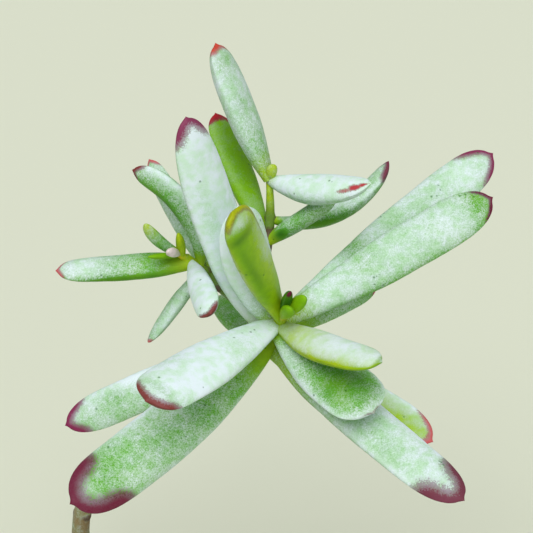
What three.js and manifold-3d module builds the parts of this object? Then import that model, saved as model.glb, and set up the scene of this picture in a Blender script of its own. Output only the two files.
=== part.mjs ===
// A potted pig ear succulent of the finger-leaved kind, Cotyledon orbiculata.
// Millimetres, +Z up. The origin is the middle of the flat face that the pot stands on.
// One lax stem leans out of a plain clay pot and ends in a rosette that faces the viewer,
// who stands at -Y. Two short side shoots grow from the stem behind the rosette.
import * as THREE from "three";
import { mergeVertices } from "three/addons/utils/BufferGeometryUtils.js";
import Module from "manifold-3d";

const wasm = await Module();
wasm.setup();

// Clearance between neighbouring pieces.
const GAP = 0.3;

// Pot.
const POT_HEIGHT = 78;
const POT_BASE_RADIUS = 29;
const POT_RIM_RADIUS = 42;
const POT_WALL = 4;
const POT_FLOOR = 6;
const RIM_HEIGHT = 15;
const RIM_PROUD = 2.5;
const RIM_UNDERCUT = 1;
const RIM_CHAMFER = 3;
const POT_EDGE = 1.2;
const POT_SIDES = 40;
const DRAIN_HOLES = 3;
const DRAIN_RADIUS = 4;
const DRAIN_CIRCLE_RADIUS = 14;
const DRAIN_SIDES = 12;

// Soil, and the grains of grit that stand out of its top.
const SOIL_LEVEL = 66;
const SOIL_CROWN = 2.5;
const SHOULDER_RADIUS_SHARE = 0.6;
const SHOULDER_CROWN_SHARE = 0.7;
const WALL_CLEARANCE = 0.45;
const GRIT_COUNT = 26;
const GRIT_SIZE = 3;
const GRIT_SEED = 11;
const GRIT_SHAPE = [1, 0.8, 0.6];
const GRIT_TURN = THREE.MathUtils.degToRad(137.5);

// Leaves and buds.
const LEAF_SIDES = 10;
const LEAF_ROWS = 12;
const BUD_SIDES = 7;
const BUD_ROWS = 6;
const LEAF_BASE = 0.32;
const LEAF_WIDEST = 0.66;
const LEAF_BLUNTNESS = 3.6;
const LEAF_POINT = 0.9;
const MIDDLE_PIECES = 60;

// A leaf's section: the inner face is flatter than the outer, and seen from its edge the
// leaf keeps more of its thickness at the root, is thickest earlier and ends less bluntly.
const INNER_FACE_SHARE = 0.42;
const DEPTH_BASE = 1.25;
const DEPTH_WIDEST = 0.72;
const DEPTH_BLUNTNESS = 0.85;

// Rings of a leaf lie closer together towards its end.
const RING_CROWDING = 1.2;

// Each shoot's stem: the points of its middle line, from its root to its growing point,
// its radius at even steps along that line, and the way its growing point faces, as the
// rise above level and the heading from +X towards +Y, both in degrees.
const MAIN_STEM = {
  path: [
    [-13, 17, 42],
    [-13, 17, 82],
    [-10, 18, 112],
    [18, 19, 145],
    [44, 11, 174],
    [52, -8, 196],
    [55, -15.5, 205],
  ],
  radii: [3.4, 3.3, 3.2, 3.1, 3.0, 2.9, 2.9, 2.7, 1.7],
  rise: 47,
  heading: -67.5,
  sides: 10,
  steps: 44,
};
const LEFT_STEM = {
  path: [
    [48.5, -0.5, 187],
    [43.5, 7.5, 191],
    [37, 10.5, 196.5],
    [31.5, 13, 201.5],
    [27, 11.5, 206],
    [22.5, 9, 211],
  ],
  radii: [1.9, 1.8, 1.8, 1.8, 1.7, 1.1],
  rise: 46,
  heading: -150.5,
  sides: 8,
  steps: 16,
};
const UPPER_STEM = {
  path: [
    [47.5, 2.5, 183.5],
    [47.5, 9.5, 188],
    [48, 14.5, 197],
    [50.5, 19.5, 214],
    [50.5, 24.5, 226],
    [50.5, 25, 229],
  ],
  radii: [1.9, 1.8, 1.7, 1.7, 1.6, 1.2],
  rise: 77,
  heading: 103,
  sides: 8,
  steps: 18,
};

// Leaves stand in pairs, each pair turned a quarter round the stem from the one before.
// back: distance of the leaf's root from the growing point, along the stem's middle line.
// turn: place round the stem, in degrees from level. spread: angle from the stem's own way.
// curl: bend towards the growing point over the whole leaf; sway: the same, sideways.
// roll: turn of the blade about its own length. base, widest, blunt: the outline.
const MAIN_LEAVES = [
  {
    name: "main_leaf_01_young_up", back: 5, turn: 132.9, spread: 34.9,
    long: 49.5, wide: 13, thick: 7.5, widest: 0.74, blunt: 4,
  },
  {
    name: "main_leaf_02_young_right", back: 10, turn: -63.8, spread: 37.5,
    long: 45.2, wide: 10.5, thick: 6.6, sway: 22, widest: 0.58, blunt: 3.6,
  },
  {
    name: "main_leaf_03_right", back: 10, turn: 14.9, spread: 73.4,
    long: 73, wide: 14.6, thick: 8, sway: 1,
  },
  {
    name: "main_leaf_04_left_forward", back: 9, turn: -159.9, spread: 67.2,
    long: 56.7, wide: 16.4, thick: 8, curl: 5, roll: 25, widest: 0.7, blunt: 5,
  },
  {
    name: "main_leaf_05_up", back: 11, turn: 111.7, spread: 46.8,
    long: 41.3, wide: 16.4, thick: 8, curl: 8, sway: -20, blunt: 3,
  },
  {
    name: "main_leaf_06_down_forward", back: 11, turn: -71.1, spread: 59.5,
    long: 42.7, wide: 18.6, thick: 9, curl: 8, blunt: 3.9,
  },
  {
    name: "main_leaf_07_right_back", back: 17, turn: 24, spread: 82,
    long: 89.5, wide: 14.5, thick: 8, sway: 3, blunt: 4.2,
  },
  {
    name: "main_leaf_08_down_left", back: 17, turn: -153.2, spread: 91.1,
    long: 77.8, wide: 17.6, thick: 9.5, sway: -16, base: 0.5, widest: 0.56, blunt: 5.8,
  },
  {
    name: "main_leaf_09_up_left", back: 21, turn: 112, spread: 51,
    long: 73.5, wide: 15.2, thick: 8.5, curl: 14, sway: -7.5, base: 0.35, widest: 0.4, blunt: 4.6,
  },
  {
    name: "main_leaf_10_down_right", back: 21, turn: -67, spread: 63.5,
    long: 78.2, wide: 14.3, thick: 8, sway: 8, base: 0.5, widest: 0.35, blunt: 7.5,
  },
  {
    name: "main_leaf_11_right_short", back: 27, turn: 16, spread: 100,
    long: 46, wide: 11, thick: 7,
  },
  {
    name: "main_leaf_12_left", back: 27, turn: -172.5, spread: 111,
    long: 64.4, wide: 12, thick: 7,
  },
  {
    name: "main_leaf_13_down_right_back", back: 32, turn: -53, spread: 68,
    long: 60, wide: 14.5, thick: 7, widest: 0.6,
  },
  {
    name: "main_leaf_14_back", back: 32, turn: 84, spread: 138,
    long: 34, wide: 16, thick: 8,
  },
];
const LEFT_LEAVES = [
  {
    name: "left_leaf_1_level", back: 7, turn: -120, spread: 51,
    long: 39.2, wide: 9.2, thick: 6, sway: -5, base: 0.6, widest: 0.4, blunt: 6.8,
  },
  {
    name: "left_leaf_2_forward", back: 7, turn: -10, spread: 75,
    long: 33.9, wide: 8.8, thick: 6, base: 0.25, blunt: 4.5,
  },
  {
    name: "left_leaf_3_curved", back: 11, turn: 145, spread: 32,
    long: 38.5, wide: 8, thick: 6, sway: 85,
  },
  {
    name: "left_leaf_4_thin", back: 12, turn: -100.1, spread: 101,
    long: 28.7, wide: 5.4, thick: 4.5, sway: 5, widest: 0.5,
  },
  {
    name: "left_leaf_5_up", back: 15, turn: 152, spread: 55,
    long: 39.5, wide: 7.4, thick: 6,
  },
];
const UPPER_LEAVES = [
  {
    name: "upper_leaf_1_tall", back: 2.5, turn: -36.2, spread: 20.5,
    long: 42.8, wide: 15, thick: 8, blunt: 3.8,
  },
  {
    name: "upper_leaf_2_right", back: 2.5, turn: 129, spread: 85,
    long: 36.6, wide: 10.4, thick: 8, curl: 26, roll: 35, widest: 0.5, blunt: 2.4,
  },
  {
    name: "upper_leaf_3_curved", back: 14, turn: -170.7, spread: 73.6,
    long: 44.3, wide: 8.2, thick: 6, curl: 76,
  },
  {
    name: "upper_leaf_4_right_low", back: 20.5, turn: 155, spread: 57,
    long: 25.5, wide: 7.4, thick: 6, base: 0.5,
  },
  {
    name: "upper_leaf_5_left", back: 21.5, turn: -69, spread: 35.5,
    long: 43.5, wide: 10.5, thick: 6,
  },
];

// Buds and the smallest leaves stay part of the stem that they grow from.
const MAIN_BUDS = [
  { back: 2, turn: 107.9, spread: 15.2, long: 12.6, wide: 3.3, thick: 3 },
  { back: 2, turn: 10.9, spread: 15.2, long: 12.4, wide: 4.2, thick: 3.6 },
  { back: 2, turn: -142, spread: 12, long: 12, wide: 4, thick: 3.4 },
];
const LEFT_BUDS = [
  { back: 1, turn: 150, spread: 10, long: 14.6, wide: 3.9, thick: 3.2, sway: -40 },
  { back: 3, turn: 75.8, spread: 35.7, long: 8.6, wide: 3.4, thick: 2.8 },
  { back: 2, turn: -80, spread: 33, long: 11, wide: 2.2, thick: 1.9 },
  { back: 1, turn: -10, spread: 36, long: 8.5, wide: 2.9, thick: 2.9 },
];
const UPPER_BUDS = [
  { back: 2, turn: 100, spread: 30, long: 5.6, wide: 3.6, thick: 3 },
  { back: 2, turn: -70, spread: 20, long: 4.5, wide: 3, thick: 2.6 },
];

const MEALY = { color: 0xc6dccb, roughness: 0.75, metalness: 0 };
const YOUNG = { color: 0xa9c64c, roughness: 0.55, metalness: 0 };
const STEM_GREEN = { color: 0x8a9a4a, roughness: 0.65, metalness: 0 };
const CLAY = { color: 0xb5694a, roughness: 0.9, metalness: 0 };
const SOIL = { color: 0x4a3a2d, roughness: 1, metalness: 0 };

// Turns a closed three.js geometry into a solid, facing out.
function solidFrom(geometry) {
  const bare = geometry.clone();
  bare.deleteAttribute("normal");
  bare.deleteAttribute("uv");
  const merged = mergeVertices(bare, 1e-4);
  const triVerts = new Uint32Array(merged.index.array);
  const vertProperties = new Float32Array(merged.attributes.position.array);
  const solid = new wasm.Manifold(new wasm.Mesh({ numProp: 3, vertProperties, triVerts }));
  if (solid.volume() > 0) return solid;
  for (let i = 0; i < triVerts.length; i += 3) {
    [triVerts[i], triVerts[i + 1]] = [triVerts[i + 1], triVerts[i]];
  }
  return new wasm.Manifold(new wasm.Mesh({ numProp: 3, vertProperties, triVerts }));
}

// The largest body of a solid: a cut can leave a scrap behind.
function largestBody(solid) {
  return solid.decompose().sort((a, b) => b.volume() - a.volume())[0];
}

// A named mesh with its own material.
function meshFrom(name, solid, look) {
  const data = solid.getMesh();
  const geometry = new THREE.BufferGeometry();
  geometry.setAttribute("position", new THREE.BufferAttribute(data.vertProperties, 3));
  geometry.setIndex(new THREE.BufferAttribute(data.triVerts, 1));
  geometry.computeVertexNormals();
  const mesh = new THREE.Mesh(geometry, new THREE.MeshStandardMaterial(look));
  mesh.name = name;
  return mesh;
}

// A shoot's own way, with the level direction across it and the direction above that.
function shootAxes(shoot) {
  const rise = THREE.MathUtils.degToRad(shoot.rise);
  const heading = THREE.MathUtils.degToRad(shoot.heading);
  const flat = Math.cos(rise);
  const along = new THREE.Vector3(flat * Math.cos(heading), flat * Math.sin(heading), Math.sin(rise));
  const level = new THREE.Vector3(0, 0, 1).cross(along).normalize();
  const above = along.clone().cross(level);
  return { along, level, above };
}

function curveOf(shoot) {
  return new THREE.CatmullRomCurve3(shoot.path.map((point) => new THREE.Vector3(...point)));
}

// A stem: a round bar along the shoot's curve, drawn in ring by ring to its radii.
function stemSolid(shoot, extra = 0) {
  const corners = [];
  for (let i = 0; i < shoot.sides; i++) {
    const angle = (i / shoot.sides) * 2 * Math.PI;
    corners.push(new THREE.Vector2(Math.cos(angle), Math.sin(angle)));
  }
  const curve = curveOf(shoot);
  const geometry = new THREE.ExtrudeGeometry(new THREE.Shape(corners), {
    steps: shoot.steps,
    bevelEnabled: false,
    extrudePath: curve,
  });
  const centres = curve.getSpacedPoints(shoot.steps);
  const position = geometry.attributes.position;
  const vertex = new THREE.Vector3();
  for (let i = 0; i < position.count; i++) {
    vertex.fromBufferAttribute(position, i);
    let ring = 0;
    for (let k = 1; k < centres.length; k++) {
      if (vertex.distanceTo(centres[k]) < vertex.distanceTo(centres[ring])) ring = k;
    }
    const place = (ring / shoot.steps) * (shoot.radii.length - 1);
    const before = Math.min(Math.floor(place), shoot.radii.length - 2);
    const radius = THREE.MathUtils.lerp(shoot.radii[before], shoot.radii[before + 1], place - before);
    vertex.sub(centres[ring]).setLength(radius + extra).add(centres[ring]);
    position.setXYZ(i, vertex.x, vertex.y, vertex.z);
  }
  return solidFrom(geometry);
}

// Share of the full width at t along a leaf: narrow at its root, round and blunt at its end.
function outline(t, base, widest, blunt) {
  if (t < widest) return base + (1 - base) * Math.sin((t / widest) * (Math.PI / 2));
  return Math.sqrt(Math.max(0, 1 - ((t - widest) / (1 - widest)) ** blunt));
}

// A leaf: a sphere whose rings are laid along a bent middle line and flattened.
function leafSolid(shoot, leaf, sides, rows, extra = 0) {
  const { along, level, above } = shootAxes(shoot);
  const { long, wide, thick } = leaf;
  const curl = THREE.MathUtils.degToRad(leaf.curl ?? 0);
  const sway = THREE.MathUtils.degToRad(leaf.sway ?? 0);
  const roll = THREE.MathUtils.degToRad(leaf.roll ?? 0);
  const turn = THREE.MathUtils.degToRad(leaf.turn);
  const spread = THREE.MathUtils.degToRad(leaf.spread);
  const base = leaf.base ?? LEAF_BASE;
  const widest = leaf.widest ?? LEAF_WIDEST;
  const blunt = leaf.blunt ?? LEAF_BLUNTNESS;
  const out = level.clone().multiplyScalar(Math.cos(turn)).addScaledVector(above, Math.sin(turn));
  const side = along.clone().cross(out);

  // The way the middle line runs at t.
  const headingAt = (t) => {
    const angle = spread - curl * (t - 0.5);
    return along
      .clone()
      .multiplyScalar(Math.cos(angle))
      .addScaledVector(out, Math.sin(angle))
      .addScaledVector(side, Math.tan(sway * (t - 0.5)))
      .normalize();
  };
  const curve = curveOf(shoot);
  const length = curve.getLength();
  const root = curve.getPointAt(1 - leaf.back / length);
  const middle = [root];
  for (let i = 0; i < MIDDLE_PIECES; i++) {
    const step = headingAt((i + 0.5) / MIDDLE_PIECES).multiplyScalar(long / MIDDLE_PIECES);
    middle.push(middle[i].clone().add(step));
  }
  const middleAt = (t) => {
    const place = Math.min(t, 1) * MIDDLE_PIECES;
    const before = Math.min(Math.floor(place), MIDDLE_PIECES - 1);
    return middle[before].clone().lerp(middle[before + 1], place - before);
  };

  const geometry = new THREE.SphereGeometry(1, sides, rows);
  const position = geometry.attributes.position;
  for (let i = 0; i < position.count; i++) {
    const row = Math.round((1 - Math.acos(position.getY(i)) / Math.PI) * rows);
    const angle = Math.atan2(position.getZ(i), position.getX(i));
    const t = Math.sin((Math.max(0, row - 1) / (rows - 1)) * (Math.PI / 2)) ** RING_CROWDING;
    const run = headingAt(t);
    const across = side.clone().addScaledVector(run, -side.dot(run)).normalize();
    const inward = run.clone().cross(across);
    const flat = across.clone().multiplyScalar(Math.cos(roll)).addScaledVector(inward, Math.sin(roll));
    const deep = inward.clone().multiplyScalar(Math.cos(roll)).addScaledVector(across, -Math.sin(roll));
    const atPole = row === 0 || row === rows;
    const halfWidth = atPole ? 0 : (wide / 2) * outline(t, base, widest, blunt) + extra;
    const depth = outline(t, base * DEPTH_BASE, widest * DEPTH_WIDEST, blunt * DEPTH_BLUNTNESS);
    const rise = Math.sin(angle);
    const share = rise > 0 ? INNER_FACE_SHARE : 1 - INNER_FACE_SHARE;
    const halfDepth = atPole ? 0 : thick * depth * share + extra;
    const point = middleAt(t)
      .addScaledVector(flat, halfWidth * Math.cos(angle))
      .addScaledVector(deep, halfDepth * rise);
    if (row === rows) point.addScaledVector(run, (leaf.point ?? LEAF_POINT) + extra);
    position.setXYZ(i, point.x, point.y, point.z);
  }
  return solidFrom(geometry);
}

// The stem of a shoot with its buds, as one body.
function buddingSolid(shoot, buds, extra = 0) {
  let solid = stemSolid(shoot, extra);
  for (const bud of buds) {
    const leaf = { base: 0.6, widest: 0.6, blunt: 2.2, point: 0, ...bud };
    solid = solid.add(leafSolid(shoot, leaf, BUD_SIDES, BUD_ROWS, extra));
  }
  return solid;
}

// The pot: one turned wall with a thick rim and a floor with drainage holes.
function potSolid() {
  const neck = POT_RIM_RADIUS - RIM_PROUD;
  const rimFoot = POT_HEIGHT - RIM_HEIGHT;
  const innerBase = POT_BASE_RADIUS - POT_WALL;
  const innerRim = POT_RIM_RADIUS - RIM_PROUD - POT_WALL;
  const profile = [
    [0, 0],
    [POT_BASE_RADIUS - POT_EDGE, 0],
    [POT_BASE_RADIUS, POT_EDGE],
    [neck - RIM_UNDERCUT, rimFoot],
    [POT_RIM_RADIUS - POT_EDGE, rimFoot + POT_EDGE],
    [POT_RIM_RADIUS, rimFoot + RIM_CHAMFER],
    [POT_RIM_RADIUS, POT_HEIGHT - POT_EDGE],
    [POT_RIM_RADIUS - POT_EDGE, POT_HEIGHT],
    [innerRim + POT_EDGE, POT_HEIGHT],
    [innerRim, POT_HEIGHT - POT_EDGE],
    [innerBase, POT_FLOOR],
    [0, POT_FLOOR],
  ].map(([radius, height]) => new THREE.Vector2(radius, height));
  const turned = new THREE.LatheGeometry(profile, POT_SIDES).rotateX(Math.PI / 2);
  let solid = solidFrom(turned);
  for (let i = 0; i < DRAIN_HOLES; i++) {
    const angle = ((i + 0.5) / DRAIN_HOLES) * 2 * Math.PI;
    const drill = new THREE.CylinderGeometry(DRAIN_RADIUS, DRAIN_RADIUS, POT_FLOOR * 3, DRAIN_SIDES)
      .rotateX(Math.PI / 2)
      .translate(DRAIN_CIRCLE_RADIUS * Math.cos(angle), DRAIN_CIRCLE_RADIUS * Math.sin(angle), 0);
    solid = solid.subtract(solidFrom(drill));
  }
  return solid;
}

// Inner radius of the pot at a height.
function potInnerRadius(height) {
  const low = POT_BASE_RADIUS - POT_WALL;
  const high = POT_RIM_RADIUS - RIM_PROUD - POT_WALL;
  const share = (height - POT_FLOOR) / (POT_HEIGHT - POT_EDGE - POT_FLOOR);
  return THREE.MathUtils.lerp(low, high, share);
}

// A repeatable stream of numbers from 0 to 1.
function seededDraw(seed) {
  let state = seed;
  return () => {
    state = (state * 1103515245 + 12345) % 2147483648;
    return state / 2147483648;
  };
}

// The soil fills the pot, with grit on top and a plain hole where the stem stands.
function soilSolid() {
  const bottom = POT_FLOOR + GAP;
  const low = potInnerRadius(bottom) - WALL_CLEARANCE;
  const high = potInnerRadius(SOIL_LEVEL) - WALL_CLEARANCE;
  const profile = [
    [0, bottom],
    [low, bottom],
    [high, SOIL_LEVEL],
    [high * SHOULDER_RADIUS_SHARE, SOIL_LEVEL + SOIL_CROWN * SHOULDER_CROWN_SHARE],
    [0, SOIL_LEVEL + SOIL_CROWN],
  ].map(([radius, height]) => new THREE.Vector2(radius, height));
  const turned = new THREE.LatheGeometry(profile, POT_SIDES).rotateX(Math.PI / 2);
  let solid = solidFrom(turned);
  const random = seededDraw(GRIT_SEED);
  for (let i = 0; i < GRIT_COUNT; i++) {
    const reach = (high - GRIT_SIZE) * Math.sqrt((i + 0.5) / GRIT_COUNT);
    const angle = i * GRIT_TURN + random();
    const size = GRIT_SIZE * (0.5 + 0.5 * random());
    const height = SOIL_LEVEL + SOIL_CROWN * (1 - reach / high);
    const grain = new THREE.IcosahedronGeometry(size)
      .scale(...GRIT_SHAPE)
      .rotateZ(2 * Math.PI * random())
      .translate(reach * Math.cos(angle), reach * Math.sin(angle), height);
    solid = solid.add(solidFrom(grain));
  }
  return solid.subtract(stemSolid(MAIN_STEM, GAP));
}

const plant = new THREE.Group();
plant.name = "potted_pig_ear_succulent";

const pot = new THREE.Group();
pot.name = "pot_and_soil";
pot.add(meshFrom("pot", potSolid(), CLAY));
pot.add(meshFrom("soil", largestBody(soilSolid()), SOIL));
plant.add(pot);

// What later pieces are cut clear of: every stem and leaf so far, a gap larger all round.
const keepClear = [];

function cutClear(solid) {
  let cut = solid;
  for (const other of keepClear) cut = cut.subtract(other);
  return largestBody(cut);
}

// Stems: the main one is whole, and each side stem ends at its skin.
const stems = [
  { name: "main_stem", shoot: MAIN_STEM, buds: MAIN_BUDS, look: STEM_GREEN },
  { name: "left_shoot_stem", shoot: LEFT_STEM, buds: LEFT_BUDS, look: YOUNG },
  { name: "upper_shoot_stem", shoot: UPPER_STEM, buds: UPPER_BUDS, look: YOUNG },
];
for (const { name, shoot, buds, look } of stems) {
  plant.add(meshFrom(name, cutClear(buddingSolid(shoot, buds)), look));
  keepClear.push(buddingSolid(shoot, buds, GAP));
}

// Leaves: each is cut clear of the stems, and of the younger leaves whose root it touches.
const youngLeaves = new Set(["main_leaf_01_young_up", "main_leaf_02_young_right", "upper_leaf_5_left"]);
const shoots = [
  { shoot: MAIN_STEM, leaves: MAIN_LEAVES },
  { shoot: LEFT_STEM, leaves: LEFT_LEAVES },
  { shoot: UPPER_STEM, leaves: UPPER_LEAVES },
];
for (const { shoot, leaves } of shoots) {
  const foliage = new THREE.Group();
  for (const leaf of leaves) {
    const solid = cutClear(leafSolid(shoot, leaf, LEAF_SIDES, LEAF_ROWS));
    foliage.add(meshFrom(leaf.name, solid, youngLeaves.has(leaf.name) ? YOUNG : MEALY));
    keepClear.push(leafSolid(shoot, leaf, LEAF_SIDES, LEAF_ROWS, GAP));
  }
  plant.add(foliage);
}

export default plant;
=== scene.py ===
# The looks of a potted pig ear succulent, built round its solids. Metres, +Z up.
import math

import bmesh
import bpy
import numpy as np
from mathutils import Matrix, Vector, noise


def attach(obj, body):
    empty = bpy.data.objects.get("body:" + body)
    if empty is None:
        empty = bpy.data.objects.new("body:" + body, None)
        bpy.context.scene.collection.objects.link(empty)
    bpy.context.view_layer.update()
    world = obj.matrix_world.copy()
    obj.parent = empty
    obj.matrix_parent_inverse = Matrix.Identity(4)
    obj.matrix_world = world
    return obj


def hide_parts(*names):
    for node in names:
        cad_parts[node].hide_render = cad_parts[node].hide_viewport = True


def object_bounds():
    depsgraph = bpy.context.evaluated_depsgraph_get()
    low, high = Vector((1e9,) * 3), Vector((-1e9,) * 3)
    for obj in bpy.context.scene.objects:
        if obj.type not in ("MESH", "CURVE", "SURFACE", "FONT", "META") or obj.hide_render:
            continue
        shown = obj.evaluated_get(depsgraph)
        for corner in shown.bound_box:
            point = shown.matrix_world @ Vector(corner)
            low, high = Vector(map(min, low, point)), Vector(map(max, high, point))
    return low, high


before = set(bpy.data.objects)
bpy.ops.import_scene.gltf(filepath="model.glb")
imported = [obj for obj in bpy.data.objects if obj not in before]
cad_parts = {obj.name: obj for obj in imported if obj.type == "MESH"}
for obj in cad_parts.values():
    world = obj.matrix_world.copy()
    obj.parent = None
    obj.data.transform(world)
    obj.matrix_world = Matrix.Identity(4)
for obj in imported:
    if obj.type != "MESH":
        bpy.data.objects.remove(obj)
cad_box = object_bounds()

MM = 0.001
IMAGE_SIZE = 533

# The solids' own box, in millimetres. The fine leaves are kept inside it.
BOX_LOW, BOX_HIGH = np.array([list(corner) for corner in cad_box]) / MM

# Points nearer to one another than this, in metres, are joined.
WELD_GAP = 1e-7

# Camera: where the viewer stands and its lens, in millimetres, how far the view is raised
# from straight down, and the nearest thing that it shows, in metres.
CAMERA_PLACE = (49.54, -389.23, 435.69)
CAMERA_PITCH = math.radians(60)
CAMERA_SENSOR = 36
CAMERA_FOCUS_PIXELS = 1551.7
CAMERA_NEAR = 0.01

# Lights: the sky's tint and strength, and for each sun its name, where it stands, its
# strength and its width in degrees. The floor reaches this far each way, in metres.
SKY_TINT = (0.97, 1.0, 0.98, 1)
SKY_STRENGTH = 0.3
SUNS = [
    ("sky", (-0.12, -0.55, 1.0), 2.4, 44),
    ("front", (0.5, -1.0, 0.6), 0.55, 60),
]
FLOOR_REACH = 3.0

# Fineness of the leaves, buds and stems, and of the lines that they are measured along.
LEAF_ROWS = 110
LEAF_COLUMNS = 56
BUD_ROWS = 40
BUD_COLUMNS = 28
STEM_ROWS = 260
STEM_COLUMNS = 32
MIDDLE_PIECES = 240
CURVE_PIECES = 200
EDGE_SAMPLES = 160

# A leaf's form, as in its solid: share of the full width at the root, the widest place
# along its length, the bluntness of its end, and how far its point stands out.
LEAF_BASE = 0.32
LEAF_WIDEST = 0.66
LEAF_BLUNTNESS = 3.6
LEAF_POINT = 0.9
INNER_FACE_SHARE = 0.42
DEPTH_BASE = 1.25
DEPTH_WIDEST = 0.72
DEPTH_BLUNTNESS = 0.85
RING_CROWDING = 1.2

# Details that only the fine leaves have, in millimetres.
POINT_RADIUS = 0.85
RIM_HEIGHT = 0.16
RIM_WIDTH = 0.45
WAVE_HEIGHT = 0.22
WAVE_LENGTH = 11
DIMPLE_HEIGHT = 0.05
DIMPLE_LENGTH = 2.2

# How steeply the point falls off, and how much sharper the margin gets.
POINT_FALL = 1.5
MARGIN_SHARPNESS = 0.3

# Where along a leaf those details set in or fade out.
POINT_SPAN = (0.9, 1)
MARGIN_SPAN = (0.45, 0.9)
RIM_SPAN = (0.75, 0.97)
RIM_CLOSE = (0.99, 1)
ROOT_CALM = (0, 0.15)
END_CALM = (0.985, 1)

# Each seed moves the soft noise on by this much.
SEED_SHIFT = 17.31

# Details that only the fine stems have, in millimetres: soft lumps, and the pairs of scars
# that fallen leaves left, which swing round the stem by this many radians.
STEM_INSET = 0.25
STEM_LUMP_HEIGHT = 0.18
STEM_LUMP_LENGTH = 5
SCAR_HEIGHT = 0.42
SCAR_LENGTH = 1.1
SCAR_SWING = 0.75
FIRST_SCAR = 6.0
SCAR_GAP_SHARE = 0.15
SCAR_GAP_PACE = 2.3

# A stem's colours: how far from its growing point each sets in, in millimetres, then its
# wax, how much of that its bark loses, and how dark its scars and nodes are; a node's dark
# band is partly painted shade, as beside upper_leaf_5's root.
GREENING_SPAN = (1.5, 5)
DULLING_SPAN = (5, 14)
BARK_SPAN = (40, 95)
STEM_WAX_SPAN = (14, 40)
SCAR_SHADE_SPAN = (8, 20)
STEM_WAX = 0.4
BARK_WEAR = 0.3
SCAR_SHADE = 1.4
SCAR_DARKNESS = 0.55
NODE_DARKNESS_AND_SHADE = 0.7
NODE_LENGTH = 2

# The pot and its soil, in millimetres, as in the solids.
POT_HEIGHT = 78
POT_BASE_RADIUS = 29
POT_RIM_RADIUS = 42
POT_WALL = 4
POT_FLOOR = 6
RIM_BAND_HEIGHT = 15
RIM_PROUD = 2.5
RIM_UNDERCUT = 1
RIM_CHAMFER = 3
POT_EDGE = 1.2
DRAIN_HOLES = 3
DRAIN_RADIUS = 4
DRAIN_CIRCLE_RADIUS = 14
SOIL_LEVEL = 66
SOIL_CROWN = 2.5
SHOULDER_RADIUS_SHARE = 0.6
SHOULDER_CROWN_SHARE = 0.7
WALL_CLEARANCE = 0.45
FLOOR_CLEARANCE = 0.3
STONE_COUNT = 26
STONE_SIZE = 3
STONE_SEED = 11
STONE_SHAPE = (1, 0.8, 0.6)
STONE_TURN = math.radians(137.5)

# Details that only the fine pot has, in millimetres: rounded corners, and the lines and soft
# waves that turning left between the foot and the lip.
POT_SIDES = 144
DRAIN_SIDES = 36
POT_ROUNDING = 0.5
CORNER_STEPS = 4
CORNER_LIMIT = 2.2
POT_STRETCH = 0.7
POT_CREASE = math.radians(40)
TURNING_DEPTH = 0.12
TURNING_GAP = 2.6
TURNING_SWAY = 0.6
TURNING_PACE = 0.37
TURNED_OUTSIDE = (POT_BASE_RADIUS - 2, POT_BASE_RADIUS)
TURNED_FROM = (2, 4)
TURNED_TO = (POT_HEIGHT - 3, POT_HEIGHT - 1.5)
WOBBLE_LENGTH = 9
WOBBLE_SEED = 3

# Details that only the fine soil has, in millimetres. Lumps: height, length and seed.
SOIL_RINGS = 60
SOIL_LUMPS = [(0.55, 4, 7), (0.3, 1.6, 8)]
SOIL_LUMP_EDGE = 3
GRAIN_COUNT = 1300
SMALLEST_GRAIN, LARGEST_GRAIN = 0.35, 1.25
GRAIN_SMALLNESS = 2.2
LEAST_RISE, MORE_RISE = 0.1, 0.3
GRAIN_SHAPES = (0.6, 1.1)
GRAIN_TONES = (0.75, 1.05)
GRAIN_SEED = 5
FINE_GRAIN_SIZE = 1
CHIP_HEIGHT = 0.28
CHIP_PACE = 1.4
CHIP_SHIFT = 50

# Each shoot's stem: the points of its middle line, its radius at even steps, and the way
# its growing point faces, in millimetres and degrees, as in the solids. Only the fine stems
# have scars, this far apart, and dark nodes, this far from the growing point; the dark node
# at 19 on the upper shoot is painted shade in the gap between upper_leaf_5 and the stem.
SHOOTS = {
    "main": {
        "solid": "main_stem",
        "path": [
            (-13, 17, 42), (-13, 17, 82), (-10, 18, 112), (18, 19, 145),
            (44, 11, 174), (52, -8, 196), (55, -15.5, 205),
        ],
        "radii": [3.4, 3.3, 3.2, 3.1, 3.0, 2.9, 2.9, 2.7, 1.7],
        "rise": 47,
        "heading": -67.5,
        "scar_gap": 9,
    },
    "left": {
        "solid": "left_shoot_stem",
        "path": [
            (48.5, -0.5, 187), (43.5, 7.5, 191), (37, 10.5, 196.5),
            (31.5, 13, 201.5), (27, 11.5, 206), (22.5, 9, 211),
        ],
        "radii": [1.9, 1.8, 1.8, 1.8, 1.7, 1.1],
        "rise": 46,
        "heading": -150.5,
        "scar_gap": 7,
    },
    "upper": {
        "solid": "upper_shoot_stem",
        "path": [
            (47.5, 2.5, 183.5), (47.5, 9.5, 188), (48, 14.5, 197),
            (50.5, 19.5, 214), (50.5, 24.5, 226), (50.5, 25, 229),
        ],
        "radii": [1.9, 1.8, 1.7, 1.7, 1.6, 1.2],
        "rise": 77,
        "heading": 103,
        "scar_gap": 7,
        "nodes": [19, 24],
    },
}


def smooth(low, high, value):
    """0 below low, 1 above high, and an easy slope between."""
    share = np.clip((value - low) / (high - low), 0, 1)
    return share * share * (3 - 2 * share)


def unit(vector):
    return vector / np.linalg.norm(vector, axis=-1, keepdims=True)


def swing(angle, middle):
    """How far an angle is from a middle one, the short way round."""
    return np.angle(np.exp(1j * (angle - middle)))


def linear(red, green, blue):
    """A colour given as it looks on a screen, from 0 to 255, as the shader wants it."""
    shares = np.array([red, green, blue]) / 255
    low = shares / 12.92
    high = ((shares + 0.055) / 1.055) ** 2.4
    return np.where(shares <= 0.04045, low, high)


def slope(first, second, third):
    """Slope of a centripetal Catmull-Rom curve at the second of three points."""
    gap, next_gap = (np.sum(step**2) ** 0.25 for step in (second - first, third - second))
    bend = (second - first) / gap - (third - first) / (gap + next_gap)
    return bend + (third - second) / next_gap


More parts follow.
